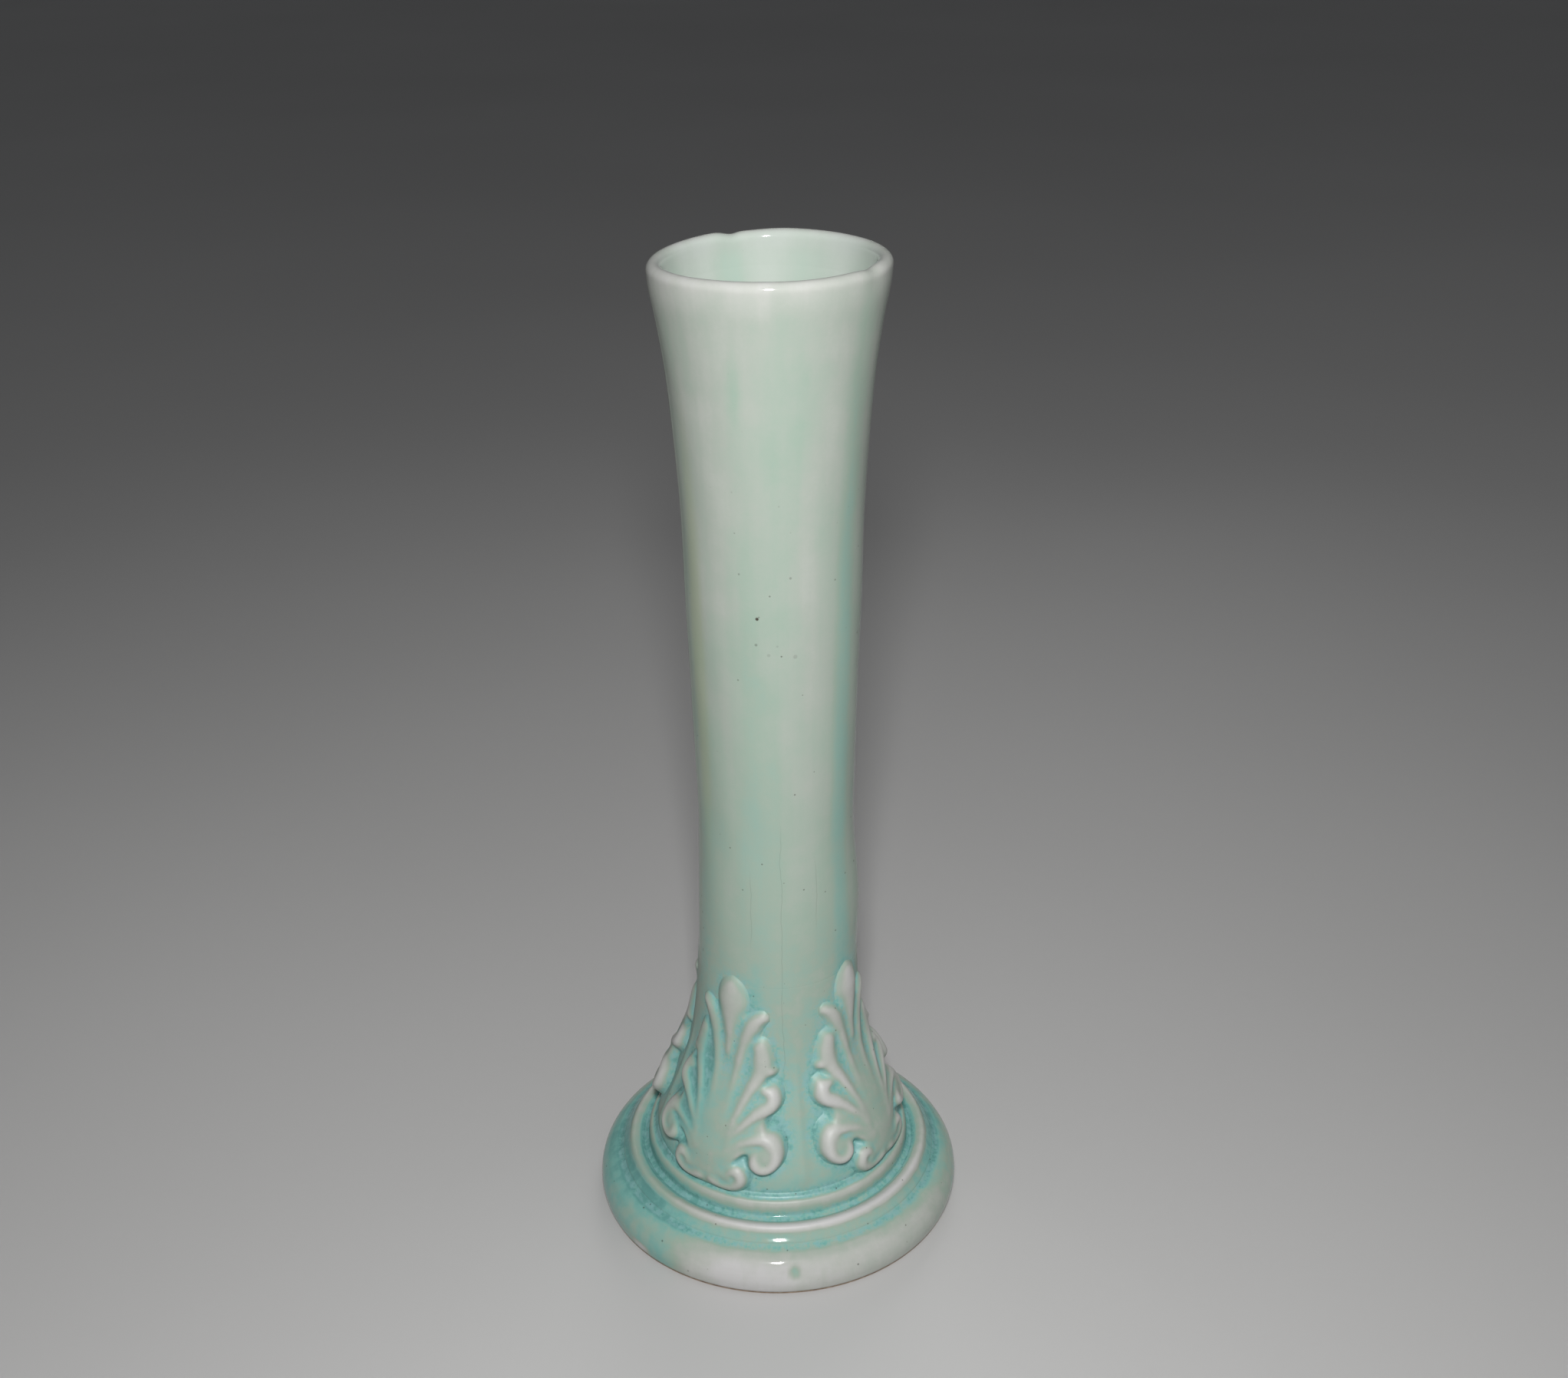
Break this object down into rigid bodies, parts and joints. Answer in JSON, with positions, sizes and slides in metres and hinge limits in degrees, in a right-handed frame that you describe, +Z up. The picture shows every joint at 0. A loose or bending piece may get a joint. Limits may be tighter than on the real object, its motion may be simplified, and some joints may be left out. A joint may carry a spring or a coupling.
{
  "type": "bud vase",
  "caption": "Tall slender bud vase with a flared lip, a bell-shaped base with four leaf reliefs, and a round moulded foot.",
  "frame": {"origin": "centre of the flat ring it stands on, at the table", "axes": "+Z up along the stem's axis; -Y is the side seen from the front, between the two front palmettes"},
  "size_m": [0.0728, 0.0728, 0.19],
  "materials": {
    "clay": "bare fired clay, matt, pinkish buff",
    "celadon_glaze": "gloss semi-transparent celadon glaze, paler at the lip, faint crazing and pinholes",
    "glaze_lining": "gloss pale celadon glaze with thin turquoise patches",
    "pooled_glaze": "gloss turquoise where the glaze pools in grooves, cream where it breaks on edges",
    "relief_glaze": "gloss glaze, cream on ribs and lobes, turquoise in the hollows between them"
  },
  "bodies": {
    "root": {"clay_body": "clay", "glaze_outside": "celadon_glaze", "glaze_inside": "glaze_lining", "step_ring": "pooled_glaze", "bead_ring": "pooled_glaze", "palmette_front_left": "relief_glaze", "palmette_front_right": "relief_glaze", "palmette_back_right": "relief_glaze", "palmette_back_left": "relief_glaze"}
  },
  "joints": []
}
